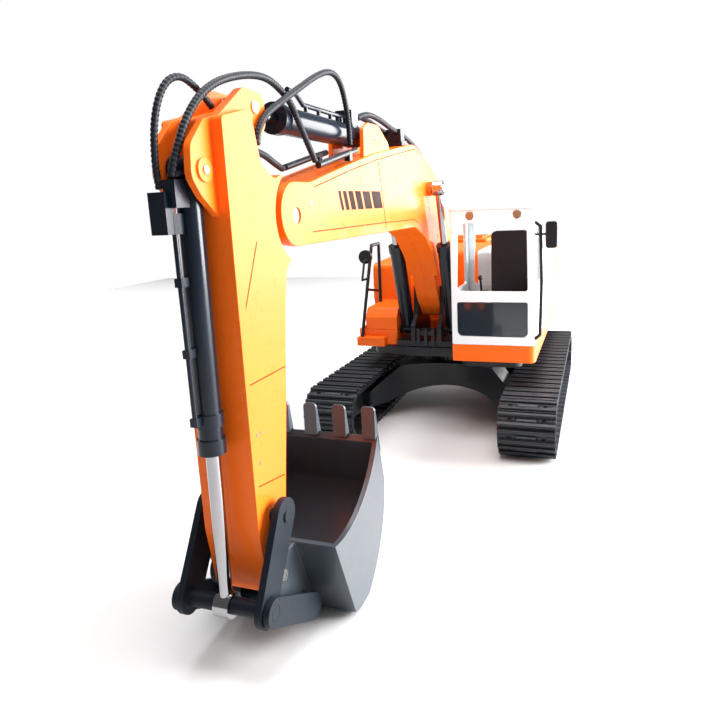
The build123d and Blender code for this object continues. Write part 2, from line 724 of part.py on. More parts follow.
def boom_shell(side):
    """One half of the hollow boom, split along its middle plane, with its fins for the arm cylinder."""
    face = outline(boom_outline())
    low, high = (0, BOOM_HALF) if side > 0 else (-BOOM_HALF, 0)
    shell = side_face(face, from_arm(low), from_arm(high))
    skin = BOOM_HALF - 2.0
    cavity = side_face(offset(face, amount=-2.2), from_arm(-skin), from_arm(skin))
    cavity &= block(0, 288, -60, 30, FOOT_TOP + 6, 260)
    shell -= cavity
    outer = from_arm(side * 40)
    foot_side = from_arm(side * FOOT_WIDTH / 2)
    shell -= block(-20, 80, min(outer, foot_side), max(outer, foot_side), 60, FOOT_TOP)
    throat = cross_pin(STICK_PIVOT, FORK_RADIUS + 1.0, from_arm(-FORK_INSIDE), from_arm(FORK_INSIDE))
    throat += block(STICK_PIVOT[0], 340, from_arm(-FORK_INSIDE), from_arm(FORK_INSIDE), 150, 215)
    shell -= throat
    fin = [(172, 214), (224, 208), (222, 231, 3), (214, 235, 5), (196, 235, 5), (178, 226, 6)]
    a, b = sorted((from_arm(side * 8.6), from_arm(side * 11.0)))
    shell += side_plate(fin, a, b)
    collar = (from_arm(side * (BOOM_HALF - 1)), from_arm(side * (BOOM_HALF + 3.4)))
    shell += cross_pin(BOOM_PIN, 5.4, min(collar), max(collar))
    shell -= cross_pin(BOOM_FOOT, 3.0, -80, 50)
    shell -= cross_pin(BOOM_PIN, 3.0, -80, 50)
    shell -= cross_pin(STICK_PIVOT, 3.5, -80, 50)
    shell -= cross_pin(ARM_CYLINDER_BASE, 1.5, -80, 50)
    return shell


def boom_pins():
    reach = BOOM_HALF + 12.6
    return [
        cross_pin(BOOM_FOOT, 3.0, from_arm(-14.6), from_arm(14.6)),
        cross_pin(BOOM_PIN, 3.0, from_arm(-reach), from_arm(reach)),
        cross_pin(STICK_PIVOT, 3.5, from_arm(-BOOM_HALF + 0.8), from_arm(BOOM_HALF - 0.8)),
        cross_pin(ARM_CYLINDER_BASE, 1.5, from_arm(-11.6), from_arm(11.6)),
    ]


HOSE = 1.7
STICK_HOSE = 1.5
HOSE_PITCH = 4.0  # half the distance between the two body hoses
CLAMP_X, CLAMP_Z = 134.0, 236.8


def boom_pipes():
    """Two steel pipes along the boom's top with their saddles, and the hose clamp behind the fins."""
    pipes = []
    for offset_y in (-9.0, 9.0):
        y = from_arm(offset_y)
        pipe = grab_bar([(231, y, 218.4), (252, y, 214.4), (282, y, 208.2)], 1.6)
        pipe += block(240, 244, y - 1.6, y + 1.6, 212.1, 217.2)
        pipes.append(pipe)
    return pipes + [hose_clamp()]


def hose_clamp():
    """The block on the boom's back that holds the two body hoses, tilted with the boom's top."""
    clamp = Pos(0, 0, 1.2) * Box(12, 17, 2.4) + Pos(0, 0, 6.5) * Box(8, 15, 9)
    clamp = Pos(CLAMP_X, ARM_Y, CLAMP_Z - 8.4) * Rot(0, 7.9, 0) * clamp
    for offset_y in (-HOSE_PITCH, HOSE_PITCH):
        y = from_arm(offset_y)
        clamp -= round_bar((CLAMP_X + 18, y, 238.5), (CLAMP_X, y, CLAMP_Z), HOSE + 0.4)
        clamp -= round_bar((CLAMP_X, y, CLAMP_Z), (CLAMP_X - 20, y, 234.8), HOSE + 0.4)
    return clamp


def bored(barrel, base, target, length, bore, eye_hole, y):
    """The barrel with its blind bore and its eye's hole cut."""
    barrel -= round_bar(at_y(between(base, target, 12), y), at_y(between(base, target, length + 1), y), bore)
    return barrel - cross_pin(base, eye_hole, y - 20, y + 20)


def cylinder_barrel(base, target, length, r, bore, eye_hole, eye_width, y):
    """A barrel from its eye at base towards target, with its rear eye, gland ring and blind bore."""
    start, end = between(base, target, eye_hole + 0.6), between(base, target, length)
    barrel = round_bar(at_y(start, y), at_y(end, y), r)
    barrel += cross_pin(base, eye_hole + 1.7, y - eye_width / 2, y + eye_width / 2)
    barrel += round_bar(at_y(between(base, target, length - 6), y), at_y(end, y), r + 0.7)
    return bored(barrel, base, target, length, bore, eye_hole, y)


def cylinder_rod(eye, target, length, r, eye_radius, hole, eye_width, y):
    """A rod from its eye towards the barrel."""
    rod = round_bar(at_y(between(eye, target, 2), y), at_y(between(eye, target, length), y), r)
    rod += cross_pin(eye, eye_radius, y - eye_width / 2, y + eye_width / 2)
    return rod - cross_pin(eye, hole, y - 20, y + 20)


ROD = 2.8


def boom_cylinders():
    base = shifted(BOOM_CYLINDER_BASE, BOOM_EYE_SHIFT)
    hole = 1.5 + BOOM_EYE_DRIFT + EYE_SLACK
    barrels, rods = [], []
    for side in (-1, 1):
        y = from_arm(side * 20.5)
        barrels.append(cylinder_barrel(base, BOOM_PIN, 80, 6.0, ROD + RUN, hole, 6.4, y))
        rods.append(cylinder_rod(BOOM_PIN, base, 100, ROD, 5.6, 3.0 + RUN, 7.4, y))
    return barrels, rods


def arm_cylinder():
    base = shifted(ARM_CYLINDER_BASE, ARM_EYE_SHIFT)
    hole = 1.5 + ARM_EYE_DRIFT + EYE_SLACK
    barrel = cylinder_barrel(base, STICK_TOP, 104, 6.4, ROD + RUN, hole, 13.0, ARM_Y)
    rod = cylinder_rod(STICK_TOP, base, 80, ROD, 5.0, 2.5 + RUN, 8.0, ARM_Y)
    rail_z = 237.6
    for x in (228, 243, 258, 273):
        barrel += round_bar((x, ARM_Y, 230), (x, ARM_Y, rail_z), 1.1)
    bends = [(222, rail_z), (276, rail_z), (283, rail_z + 4), (292, rail_z + 5)]
    barrel += grab_bar([(x, ARM_Y, z) for x, z in bends], 1.2)
    barrel += block(214, 224, from_arm(-5), from_arm(5), 231, 241.5)
    return bored(barrel, base, STICK_TOP, 104, ROD + RUN, hole, ARM_Y), rod


def boom_motor():
    """The gear motor that drives the stick, inside the boom."""
    return round_bar((150, ARM_Y, 196), (192, ARM_Y, 196), 9.0)


def build_boom():
    save("boom_left_shell", boom_shell(1))
    save("boom_right_shell", boom_shell(-1))
    save("boom_pins", *boom_pins())
    save("boom_pipes", *boom_pipes())
    save("boom_motor", boom_motor())
    barrels, rods = boom_cylinders()
    save("boom_cylinder_barrels", *barrels)
    save("boom_cylinder_rods", *rods)
    barrel, rod = arm_cylinder()
    save("arm_cylinder_barrel", barrel)
    save("arm_cylinder_rod", rod)


# Stick

STICK_HALF = STICK_WIDTH / 2
BOSS_HALF = FORK_INSIDE - 0.4
RECESS_RADIUS = FORK_RADIUS + 5.5


def stick_outline():
    return [
        (369, 221, 2),
        (369, 60, 6),
        (364.5, 29.4, 6.4),
        (350, 29.4, 6.4),
        (346, 62, 10),
        (338.5, 107, 60),
        (332, 150, 30),
        (329, 163, 6),
        (324, 166, 4),
        (324, 204, 4),
        (334, 200, 6),
        (344, 206, 6),
        (349, 226, 2),
    ]


def stick_shell(side):
    """One half of the hollow stick, with half its pivot boss and its ears."""
    face = outline(stick_outline())
    low, high = (0, STICK_HALF) if side > 0 else (-STICK_HALF, 0)
    shell = side_face(face, from_arm(low), from_arm(high))
    skin = STICK_HALF - 2.0
    cavity = side_face(offset(face, amount=-2.2), from_arm(-skin), from_arm(skin))
    cavity &= block(338, 380, -60, 30, 74, 216)
    shell -= cavity
    recess = cross_pin(STICK_PIVOT, RECESS_RADIUS, from_arm(-30), from_arm(30))
    recess -= cross_pin(STICK_PIVOT, RECESS_RADIUS + 1, from_arm(-BOSS_HALF), from_arm(BOSS_HALF))
    shell -= recess
    boss_low, boss_high = sorted((ARM_Y, from_arm(side * BOSS_HALF)))
    shell += cross_pin(STICK_PIVOT, 13.0, boss_low, boss_high)
    shell += block(STICK_PIVOT[0], 345, boss_low, boss_high, 173, 197)
    ear = [(330, 222, 5), (330, 234, 5), (346, 234.5, 5), (366, 221), (369, 214), (342, 208)]
    a, b = sorted((from_arm(side * 5.0), from_arm(side * 8.5)))
    shell += side_plate(ear, a, b)
    shell -= block(322, 346, from_arm(-5.0), from_arm(5.0), 216, 240)
    lug = [(366, 222), (373, 220, 4), (382, 211, 6), (383, 200, 6), (378, 193.5, 6), (366, 184)]
    a, b = sorted((from_arm(side * 5.2), from_arm(side * 8.0)))
    shell += side_plate(lug, a, b)
    a, b = sorted((from_arm(side * 7.0), from_arm(side * 8.8)))
    shell += cross_pin(BUCKET_CYLINDER_BASE, 4.2, a, b)
    shell -= cross_pin(STICK_PIVOT, 3.5 + RUN, -80, 50)
    shell -= cross_pin(STICK_TOP, 2.5, -80, 50)
    shell -= cross_pin(BUCKET_CYLINDER_BASE, 1.5, -80, 50)
    shell -= cross_pin(ROCKER_PIVOT, 2.5 + RUN, -80, 50)
    shell -= cross_pin(BUCKET_PIVOT, 2.5, -80, 50)
    return shell


def stick_pins():
    return [
        cross_pin(STICK_TOP, 2.5, from_arm(-9.2), from_arm(9.2)),
        cross_pin(BUCKET_CYLINDER_BASE, 1.5, from_arm(-9.4), from_arm(9.4)),
        cross_pin(BUCKET_PIVOT, 2.5, from_arm(-16.2), from_arm(16.2)),
    ]


def bucket_motor():
    return block(344, 364, from_arm(-9), from_arm(9), 130, 168)


def bucket_cylinder():
    base = shifted(BUCKET_CYLINDER_BASE, BUCKET_EYE_SHIFT)
    hole = 1.5 + BUCKET_EYE_DRIFT + EYE_SLACK
    barrel = cylinder_barrel(base, ROCKER_END, 106, 4.7, ROD + RUN, hole, 9.6, ARM_Y)
    collar = between(base, ROCKER_END, 90)
    barrel += round_bar(at_y(collar, ARM_Y), at_y(between(base, ROCKER_END, 95), ARM_Y), 5.4)
    pipe_x, pipe_y = 383.2, from_arm(-1.0)
    barrel += round_bar((pipe_x, pipe_y, 112), (pipe_x, pipe_y, 186), 1.0)
    for z in (112, 138, 164):
        barrel += block(pipe_x - 5, pipe_x + 1.2, pipe_y - 1.5, pipe_y + 1.5, z - 1.6, z + 1.6)
    barrel += block(379, 385, from_arm(-5), from_arm(0.5), 181, 188)
    barrel += block(383.6, 388.6, from_arm(-6.4), from_arm(0.4), 181, 195.4)
    barrel += block(379, 386.5, from_arm(-1.4), from_arm(3.4), 190, 199.4)
    barrel = bored(barrel, base, ROCKER_END, 106, ROD + RUN, hole, ARM_Y)
    rod = cylinder_rod(ROCKER_END, base, 100, ROD, 5.2, 3.4 + RUN, 7.0, ARM_Y)
    return barrel, rod


def build_stick():
    save("stick_left_shell", stick_shell(1))
    save("stick_right_shell", stick_shell(-1))
    save("stick_pins", *stick_pins())
    save("bucket_motor", bucket_motor())
    barrel, rod = bucket_cylinder()
    save("bucket_cylinder_barrel", barrel)
    save("bucket_cylinder_rod", rod)


# Bucket and its linkage

BUCKET_HALF = BUCKET_WIDTH / 2
EAR_INSIDE, EAR_OUTSIDE = 13.1, 16.1
ROCKER_INSIDE, ROCKER_OUTSIDE = 16.4, 19.4
LINK_INSIDE, LINK_OUTSIDE = 19.7, 22.3
LINK_PIN = 2.2


def bar_profile(a, b, ra, rb):
    """The outline of a flat bar with round ends at two (X, Z) points."""
    turn = atan2(b[1] - a[1], b[0] - a[0])
    lean = (ra - rb) / ((b[0] - a[0]) ** 2 + (b[1] - a[1]) ** 2) ** 0.5
    sides = []
    for side in (1, -1):
        angle = turn + side * (pi / 2 - lean)
        sides.append(
            ((a[0] + ra * cos(angle), a[1] + ra * sin(angle)), (b[0] + rb * cos(angle), b[1] + rb * sin(angle)))
        )
    (p, q), (s, t) = sides
    web = make_face(Polyline(p, q, t, s, close=True))
    return web + Pos(*a) * Circle(ra) + Pos(*b) * Circle(rb)


def rocker():
    face = bar_profile(ROCKER_PIVOT, ROCKER_END, 7.6, 6.8)
    part = cross_pin(ROCKER_END, 3.4, from_arm(-ROCKER_INSIDE - 1), from_arm(ROCKER_INSIDE + 1))
    part += cross_pin(ROCKER_END, 3.0, from_arm(-LINK_OUTSIDE), from_arm(LINK_OUTSIDE))
    for side in (-1, 1):
        a, b = sorted((from_arm(side * ROCKER_INSIDE), from_arm(side * ROCKER_OUTSIDE)))
        part += side_face(face, a, b)
        a, b = sorted((from_arm(side * 6.0), from_arm(side * (ROCKER_OUTSIDE + 0.8))))
        part += cross_pin(ROCKER_PIVOT, 2.5, a, b)
    return part


def bucket_link():
    face = bar_profile(ROCKER_END, LINK_END, 5.8, 6.0)
    part = cross_pin(LINK_END, LINK_PIN, from_arm(-LINK_OUTSIDE), from_arm(LINK_OUTSIDE))
    for side in (-1, 1):
        a, b = sorted((from_arm(side * LINK_INSIDE), from_arm(side * LINK_OUTSIDE)))
        part += side_face(face, a, b) - cross_pin(ROCKER_END, 3.0 + RUN, a - 1, b + 1)
    return part


def bucket():
    """A curved shell with side walls, open towards the stick, and ears for the pivot and the link."""
    back = Line((347, 46), (329, 2.4))
    heel = Line((329, 2.4), (322, 0.4)) + Line((322, 0.4), (312, 0.4))
    floor = ThreePointArc((312, 0.4), (289.5, 21), (282, 48)) + Line((282, 48), (289, 74))
    mouth = ThreePointArc((289, 74), (312, 51), (347, 46))
    side_shape = make_face(back + heel + floor + mouth)
    low, high = from_arm(-BUCKET_HALF), from_arm(BUCKET_HALF)
    body = side_face(side_shape, low, high)
    inner = make_face(
        Line((349, 58), (343.6, 46))
        + Polyline((343.6, 46), (327.4, 5), (321, 3), (313, 3))
        + ThreePointArc((313, 3), (292, 22.5), (284.6, 48))
        + Polyline((284.6, 48), (291, 72), (296, 90), (349, 90), (349, 58))
    )
    wall = 2.6
    body -= side_face(inner, low + wall, high - wall)
    hole = LINK_PIN + LINK_EYE_DRIFT + EYE_SLACK
    eye = shifted(LINK_END, LINK_EYE_SHIFT)
    ear = make_face(Polyline((346.8, 45.6), (354, 45.6), (364, 36), (352, 10), (336, 4.5), (330.2, 5.2), close=True))
    ear += Pos(*BUCKET_PIVOT) * Circle(7.6) + Pos(*eye) * Circle(hole + 2.2)
    ear -= Pos(*BUCKET_PIVOT) * Circle(2.5 + RUN) + Pos(*eye) * Circle(hole)
    for side in (-1, 1):
        a, b = sorted((from_arm(side * EAR_INSIDE), from_arm(side * EAR_OUTSIDE)))
        body += side_face(ear, a, b)
    return body


def bucket_teeth():
    """Five teeth on the lip, rounded at their tips, the outer two at the side walls."""
    profile = [(285.4, 64), (288.2, 74.2), (289.2, 74.2), (292.2, 73), (292, 90), (290.6, 90)]
    half = 3.6
    pitch = (BUCKET_HALF - half) / 2
    teeth = []
    for count in range(-2, 3):
        y = from_arm(pitch * count)
        tooth = side_plate(profile, y - half, y + half)
        teeth.append(tooth & rounded(block(280, 300, y - half, y + half, 50, 90), Axis.X, 2.2))
    return teeth


def build_bucket():
    save("rocker", rocker())
    save("bucket_link", bucket_link())
    save("bucket", bucket())
    save("bucket_teeth", *bucket_teeth())


# Hoses between boom and stick, and from the body to the boom

def build_hoses():
    routes = {
        "cylinder_hose": [
            (386, -18.7, 196.4),
            (386, -19.3, 203),
            (386, -18.9, 211),
            (385.4, -18.2, 219),
            (383, -17.2, 227),
            (379, -16, 232.8),
            (373.5, -14.6, 234.8),
            (367, -14, 232.4),
            (361, -14, 229),
            (357, -14, 226.2),
        ],
        "stick_hose": [
            (384.5, -14.6, 200.3),
            (383.8, -13.5, 205),
            (381.5, -12.6, 211),
            (378.2, -11.6, 218.5),
            (373, -10.5, 225.5),
            (366.5, -9.6, 231),
            (357, -8.6, 235.8),
            (341, -7.6, 240),
            (326.5, -7.2, 241.3),
            (315, -7.2, 238.5),
            (306, -7, 234),
            (300, -6.8, 226.5),
            (293.5, -6.6, 219),
            (289, -6.5, 214),
            (285.2, -6.5, 209.9),
        ],
        "arm_hose": [
            (341.8, -5.2, 213.4),
            (340, -5.2, 219),
            (334, -5.2, 225),
            (326, -5.2, 229.2),
            (313.4, -5, 235),
            (302.7, -4.6, 240.1),
            (284, -4.2, 248.6),
            (267, -4.2, 254),
            (253, -4.6, 252),
            (243.5, -5.6, 240),
            (240, -6.2, 229),
            (239, -6.5, 220.6),
        ],
        "low_hose": [
            (340.5, -13, 211),
            (330, -13.8, 212.4),
            (320, -14.4, 211.4),
            (309.6, -16, 208.8),
            (298, -19, 207.4),
            (290, -22, 207),
            (284.4, -24.4, 208.1),
        ],
    }
    solids = {}
    for name, points in routes.items():
        solids[name] = tube(name, points, STICK_HOSE)
    save("stick_hoses", *solids.values())
    body = []
    for offset_y in (-HOSE_PITCH, HOSE_PITCH):
        y = from_arm(offset_y)
        points = [
            (213.2, y, 237.8),
            (205, y, 240.5),
            (192, y, 242.5),
            (172, y, 241.5),
            (152, y, 238.5),
            (CLAMP_X, y, CLAMP_Z),
            (114, y, 234.8),
            (90, y, 229.5),
            (64, y, 219.5),
            (40, y, 205),
            (18, y, 187),
            (4, y, 167),
            (-8, y, 150),
            (-16, y, 137),
            (-21.4, y, 126.5),
        ]
        body.append(tube("body_hose", points, HOSE))
    save("body_hoses", *body)


os.makedirs("parts", exist_ok=True)
saved = []
build_tracks()
build_chassis()
build_superstructure()
build_boom()
build_stick()
build_bucket()
build_hoses()
whole = Compound(children=saved).bounding_box()
print("bounds", whole.min, whole.max)
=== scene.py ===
"""The looks of the toy excavator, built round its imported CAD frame. Lengths are in metres."""

import json
import math

import bmesh
import bpy
from mathutils import Matrix, Vector


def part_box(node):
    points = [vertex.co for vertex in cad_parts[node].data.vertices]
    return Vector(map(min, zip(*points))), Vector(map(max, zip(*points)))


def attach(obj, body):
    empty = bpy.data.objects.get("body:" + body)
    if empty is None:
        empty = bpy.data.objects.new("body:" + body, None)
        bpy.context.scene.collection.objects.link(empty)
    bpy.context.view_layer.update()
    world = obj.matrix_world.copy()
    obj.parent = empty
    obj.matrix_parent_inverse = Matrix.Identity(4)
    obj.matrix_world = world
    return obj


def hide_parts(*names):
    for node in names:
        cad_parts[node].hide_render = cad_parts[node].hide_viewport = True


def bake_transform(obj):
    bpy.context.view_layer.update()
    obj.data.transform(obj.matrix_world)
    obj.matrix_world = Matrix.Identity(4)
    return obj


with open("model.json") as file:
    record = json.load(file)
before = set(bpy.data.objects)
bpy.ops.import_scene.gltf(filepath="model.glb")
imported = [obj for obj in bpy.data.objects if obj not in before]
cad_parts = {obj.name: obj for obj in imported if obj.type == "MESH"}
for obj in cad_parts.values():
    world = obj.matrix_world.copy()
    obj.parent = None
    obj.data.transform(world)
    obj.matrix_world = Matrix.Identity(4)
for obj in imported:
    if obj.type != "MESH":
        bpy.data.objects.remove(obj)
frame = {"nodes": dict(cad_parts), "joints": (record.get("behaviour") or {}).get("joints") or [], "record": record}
NODES = frame["nodes"]
JOINTS = {j["name"]: j for j in frame["joints"]}
MM = 0.001
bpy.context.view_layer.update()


def joint_point(name):
    return Vector(JOINTS[name]["pos_m"])


# Pivots and planes that the added pieces are placed by.
BOOM_FOOT = joint_point("boom_lift")
SLEW = joint_point("slew")
ARM_Y = BOOM_FOOT.y


def machine(x, y, z):
    """A point given in millimetres from the slewing axis at ground level."""
    return Vector((SLEW.x + x * MM, y * MM, z * MM))


# ------------------------------------------------------------------ materials


def new_material(name):
    material = bpy.data.materials.new(name)
    material.use_nodes = True
    nodes = material.node_tree.nodes
    return material, nodes, material.node_tree.links, nodes["Principled BSDF"]


def noise(nodes, links, scale, detail=4.0, roughness=0.55):
    coords = nodes.new("ShaderNodeTexCoord")
    texture = nodes.new("ShaderNodeTexNoise")
    texture.inputs["Scale"].default_value = scale
    texture.inputs["Detail"].default_value = detail
    texture.inputs["Roughness"].default_value = roughness
    links.new(coords.outputs["Object"], texture.inputs["Vector"])
    return texture.outputs["Fac"]


def ramp(nodes, links, source, stops):
    """Colours or greys along source, given as (place, value) pairs."""
    node = nodes.new("ShaderNodeValToRGB")
    elements = node.color_ramp.elements
    for element, (place, value) in zip(elements, (stops[0], stops[-1])):
        element.position = place
        element.color = as_colour(value)
    for place, value in stops[1:-1]:
        elements.new(place).color = as_colour(value)
    links.new(source, node.inputs["Fac"])
    return node.outputs["Color"]


def as_colour(value):
    if isinstance(value, (int, float)):
        return (value, value, value, 1)
    return (*value, 1)


def bump(nodes, links, height, distance, strength, shader):
    node = nodes.new("ShaderNodeBump")
    node.inputs["Distance"].default_value = distance
    node.inputs["Strength"].default_value = strength
    links.new(height, node.inputs["Height"])
    links.new(node.outputs["Normal"], shader.inputs["Normal"])


def shade(colour, factor):
    return tuple(min(1.0, c * factor) for c in colour)


MOULD_GRAIN = 900.0
MOULD_GRAIN_DEPTH = 0.02 * MM
ORANGE_PEEL = 420.0
ORANGE_PEEL_DEPTH = 0.03 * MM


def moulded(name, colour, rough, coat, mottle=0.05, specular=0.35):
    """Moulded plastic: faint flow marks in the colour, uneven gloss and a fine grain."""
    material, nodes, links, shader = new_material(name)
    flow = noise(nodes, links, 14.0, 5.0)
    tones = [(0.3, shade(colour, 1 - mottle)), (0.7, shade(colour, 1 + mottle))]
    links.new(ramp(nodes, links, flow, tones), shader.inputs["Base Color"])
    smears = noise(nodes, links, 55.0, 6.0, 0.65)
    gloss = ramp(nodes, links, smears, [(0.35, rough * 0.85), (0.7, rough * 1.2)])
    links.new(gloss, shader.inputs["Roughness"])
    bump(nodes, links, noise(nodes, links, MOULD_GRAIN, 3.0), MOULD_GRAIN_DEPTH, 0.5, shader)
    shader.inputs["Coat Weight"].default_value = coat
    shader.inputs["Coat Roughness"].default_value = 0.08
    shader.inputs["Specular IOR Level"].default_value = specular
    shader.inputs["IOR"].default_value = 1.49
    return material


def metal(name, colour, rough, scratch_scale, depth):
    """Bare metal with fine scratches that shift its gloss."""
    material, nodes, links, shader = new_material(name)
    shader.inputs["Metallic"].default_value = 1.0
    grain = noise(nodes, links, scratch_scale, 8.0, 0.7)
    tone = ramp(nodes, links, grain, [(0.3, shade(colour, 0.93)), (0.7, colour)])
    links.new(tone, shader.inputs["Base Color"])
    gloss = ramp(nodes, links, grain, [(0.3, rough * 0.8), (0.75, rough * 1.4)])
    links.new(gloss, shader.inputs["Roughness"])
    bump(nodes, links, grain, depth, 0.4, shader)
    return material


def painted(name, colour, rough, coat, specular=0.5, metallic=0.25):
    """Paint on metal with a faint orange-peel surface and slightly worn patches."""
    material, nodes, links, shader = new_material(name)
    wear = noise(nodes, links, 38.0, 7.0, 0.6)
    tones = [(0.25, shade(colour, 0.88)), (0.6, colour), (0.85, shade(colour, 1.22))]
    links.new(ramp(nodes, links, wear, tones), shader.inputs["Base Color"])
    gloss = ramp(nodes, links, wear, [(0.3, rough * 0.85), (0.75, rough * 1.25)])
    links.new(gloss, shader.inputs["Roughness"])
    bump(nodes, links, noise(nodes, links, ORANGE_PEEL, 2.0), ORANGE_PEEL_DEPTH, 0.5, shader)
    shader.inputs["Coat Weight"].default_value = coat
    shader.inputs["Coat Roughness"].default_value = 0.15
    shader.inputs["Specular IOR Level"].default_value = specular
    shader.inputs["Metallic"].default_value = metallic
    return material


def glass(name, tint, rough, alpha):
    material, nodes, links, shader = new_material(name)
    smudge = noise(nodes, links, 60.0, 5.0)
    tone = ramp(nodes, links, smudge, [(0.3, shade(tint, 0.9)), (0.7, tint)])
    links.new(tone, shader.inputs["Base Color"])
    gloss = ramp(nodes, links, smudge, [(0.4, rough), (0.8, rough * 2)])
    links.new(gloss, shader.inputs["Roughness"])
    shader.inputs["Alpha"].default_value = alpha
    shader.inputs["IOR"].default_value = 1.5
    shader.inputs["Coat Weight"].default_value = 0.6
    return material


def floor_material():
    material, nodes, links, shader = new_material("studio_floor")
    grain = noise(nodes, links, 3.0, 2.0)
    links.new(ramp(nodes, links, grain, [(0.3, 0.60), (0.7, 0.62)]), shader.inputs["Base Color"])
    shader.inputs["Roughness"].default_value = 0.6
    return material


ORANGE = (0.88, 0.145, 0.010)
MATERIALS = {
    "orange_plastic": moulded("orange_plastic", ORANGE, 0.30, 0.06, specular=0.15),
    "white_plastic": moulded("white_plastic", (0.80, 0.88, 0.90), 0.28, 0.25, mottle=0.015),
    "black_plastic": moulded("black_plastic", (0.006, 0.008, 0.012), 0.40, 0.08, mottle=0.2),
    "track_plastic": moulded("track_plastic", (0.012, 0.015, 0.020), 0.46, 0.05, mottle=0.25),
    "bucket_metal": painted("bucket_metal", (0.042, 0.055, 0.070), 0.36, 0.5),
    "barrel_paint": painted("barrel_paint", (0.006, 0.010, 0.018), 0.22, 0.12, 0.25, 0.0),
    "rod_chrome": metal("rod_chrome", (0.36, 0.35, 0.36), 0.08, 160.0, 0.000004),
    "pin_steel": metal("pin_steel", (0.58, 0.58, 0.58), 0.28, 240.0, 0.00001),
    "dark_glass": glass("dark_glass", (0.014, 0.020, 0.027), 0.06, 0.93),
    "hose_rubber": moulded("hose_rubber", (0.008, 0.010, 0.014), 0.5, 0.0, mottle=0.2, specular=0.2),
    "lamp_lens": glass("lamp_lens", (0.30, 0.16, 0.07), 0.12, 0.95),
    "battery_wrap": moulded("battery_wrap", (0.03, 0.12, 0.38), 0.3, 0.4),
    "circuit_green": moulded("circuit_green", (0.01, 0.12, 0.05), 0.35, 0.3),
    "motor_steel": metal("motor_steel", (0.50, 0.50, 0.52), 0.32, 200.0, 0.00001),
}
LINKAGE = painted("linkage_metal", (0.008, 0.012, 0.018), 0.45, 0.0, 0.15, 0.0)
# Dark orange-brown for the painted shadow inside the shell seams, drawn as thin raised strips.
SEAM_SHADE = moulded("seam_shadow", (0.10, 0.012, 0.002), 0.6, 0.0, specular=0.05)
DECAL = moulded("stripe_decal", (0.018, 0.005, 0.003), 0.5, 0.0, specular=0.05)
SHOE_PAD = moulded("shoe_pad", (0.055, 0.062, 0.070), 0.5, 0.0, mottle=0.2)
SCREW = metal("screw_steel", (0.20, 0.17, 0.15), 0.35, 300.0, 0.00001)
SLOT_OF = {s["node"]: s["material_slot"] for s in frame["record"]["subparts"]}


# ------------------------------------------------------------------ CAD nodes

BEVELS = {
    "bucket": 0.5,
    "cab_shell": 0.6,
    "cab_roof": 0.8,
    "counterweight": 0.9,
    "right_body_box": 0.7,
    "engine_housing": 0.7,
    "left_side_panel": 0.7,
    "body_base": 0.6,
    "engine_hood": 0.5,
    "rocker": 0.45,
    "bucket_link": 0.4,
}
PLAIN_BEVEL = 0.28
UNBEVELLED = ("circuit_board", "cab_glass")
LINKAGE_NODES = ("rocker", "bucket_link")


def soften(thing, width):
    """Welds the mesh, makes flat faces whole, rounds the edges and evens the shading."""
    weld = thing.modifiers.new("weld", "WELD")
    weld.merge_threshold = 0.002 * MM
    flat = thing.modifiers.new("flat", "DECIMATE")
    flat.decimate_type = "DISSOLVE"
    flat.angle_limit = math.radians(0.4)
    bevel = thing.modifiers.new("bevel", "BEVEL")
    bevel.width = width * MM
    bevel.segments = 2
    bevel.limit_method = "ANGLE"
    bevel.angle_limit = math.radians(38)
    bevel.use_clamp_overlap = True
    normals = thing.modifiers.new("normals", "WEIGHTED_NORMAL")
    normals.weight = 60


def finish_cad_nodes():
    """Gives each CAD node its material, smooth shading and rounded edges."""
    for name, node in NODES.items():
        material = LINKAGE if name in LINKAGE_NODES else MATERIALS[SLOT_OF[name]]
        node.data.materials.clear()
        node.data.materials.append(material)
        for polygon in node.data.polygons:
            polygon.material_index = 0
            polygon.use_smooth = True
        if name not in UNBEVELLED:
            soften(node, BEVELS.get(name, PLAIN_BEVEL))


# ------------------------------------------------------------------ added pieces


def piece(name, mesh, materials, body=None):
    """Puts a finished bmesh into the scene in a material slot, riding on a body if one is named."""
    data = bpy.data.meshes.new(name)
    mesh.to_mesh(data)
    mesh.free()
    for material in materials:
        data.materials.append(material)
    thing = bpy.data.objects.new(name, data)
    bpy.context.scene.collection.objects.link(thing)
    if body:
        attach(thing, body)
    return thing


def add_box(mesh, low, high, taper=0.0, material=0):
    """Adds a box in millimetres, narrower along x at its low side by taper."""
    (x0, y0, z0), (x1, y1, z1) = low, high
    corners = []
    for z, inset in ((z0, taper), (z1, 0.0)):
        for x, y in ((x0 + inset, y0), (x1 - inset, y0), (x1 - inset, y1), (x0 + inset, y1)):
            corners.append(mesh.verts.new((x * MM, y * MM, z * MM)))
    sides = [(3, 2, 1, 0), (4, 5, 6, 7), (0, 1, 5, 4), (1, 2, 6, 5), (2, 3, 7, 6), (3, 0, 4, 7)]
    for side in sides:
        face = mesh.faces.new([corners[i] for i in side])
        face.material_index = material


SHOES = 50
PLATE_HALF = 5.75  # along the belt
PLATE_DEPTH = 3.6
PLATE_TOP = -1.4
GROUSER = 1.8
EDGE_ROUND = 0.28
SHARP = 0.6  # radians between faces
POCKETS = ((-12.4, 2.6), (0.0, 15.6), (12.4, 2.6))  # middle and width of each opening across the shoe


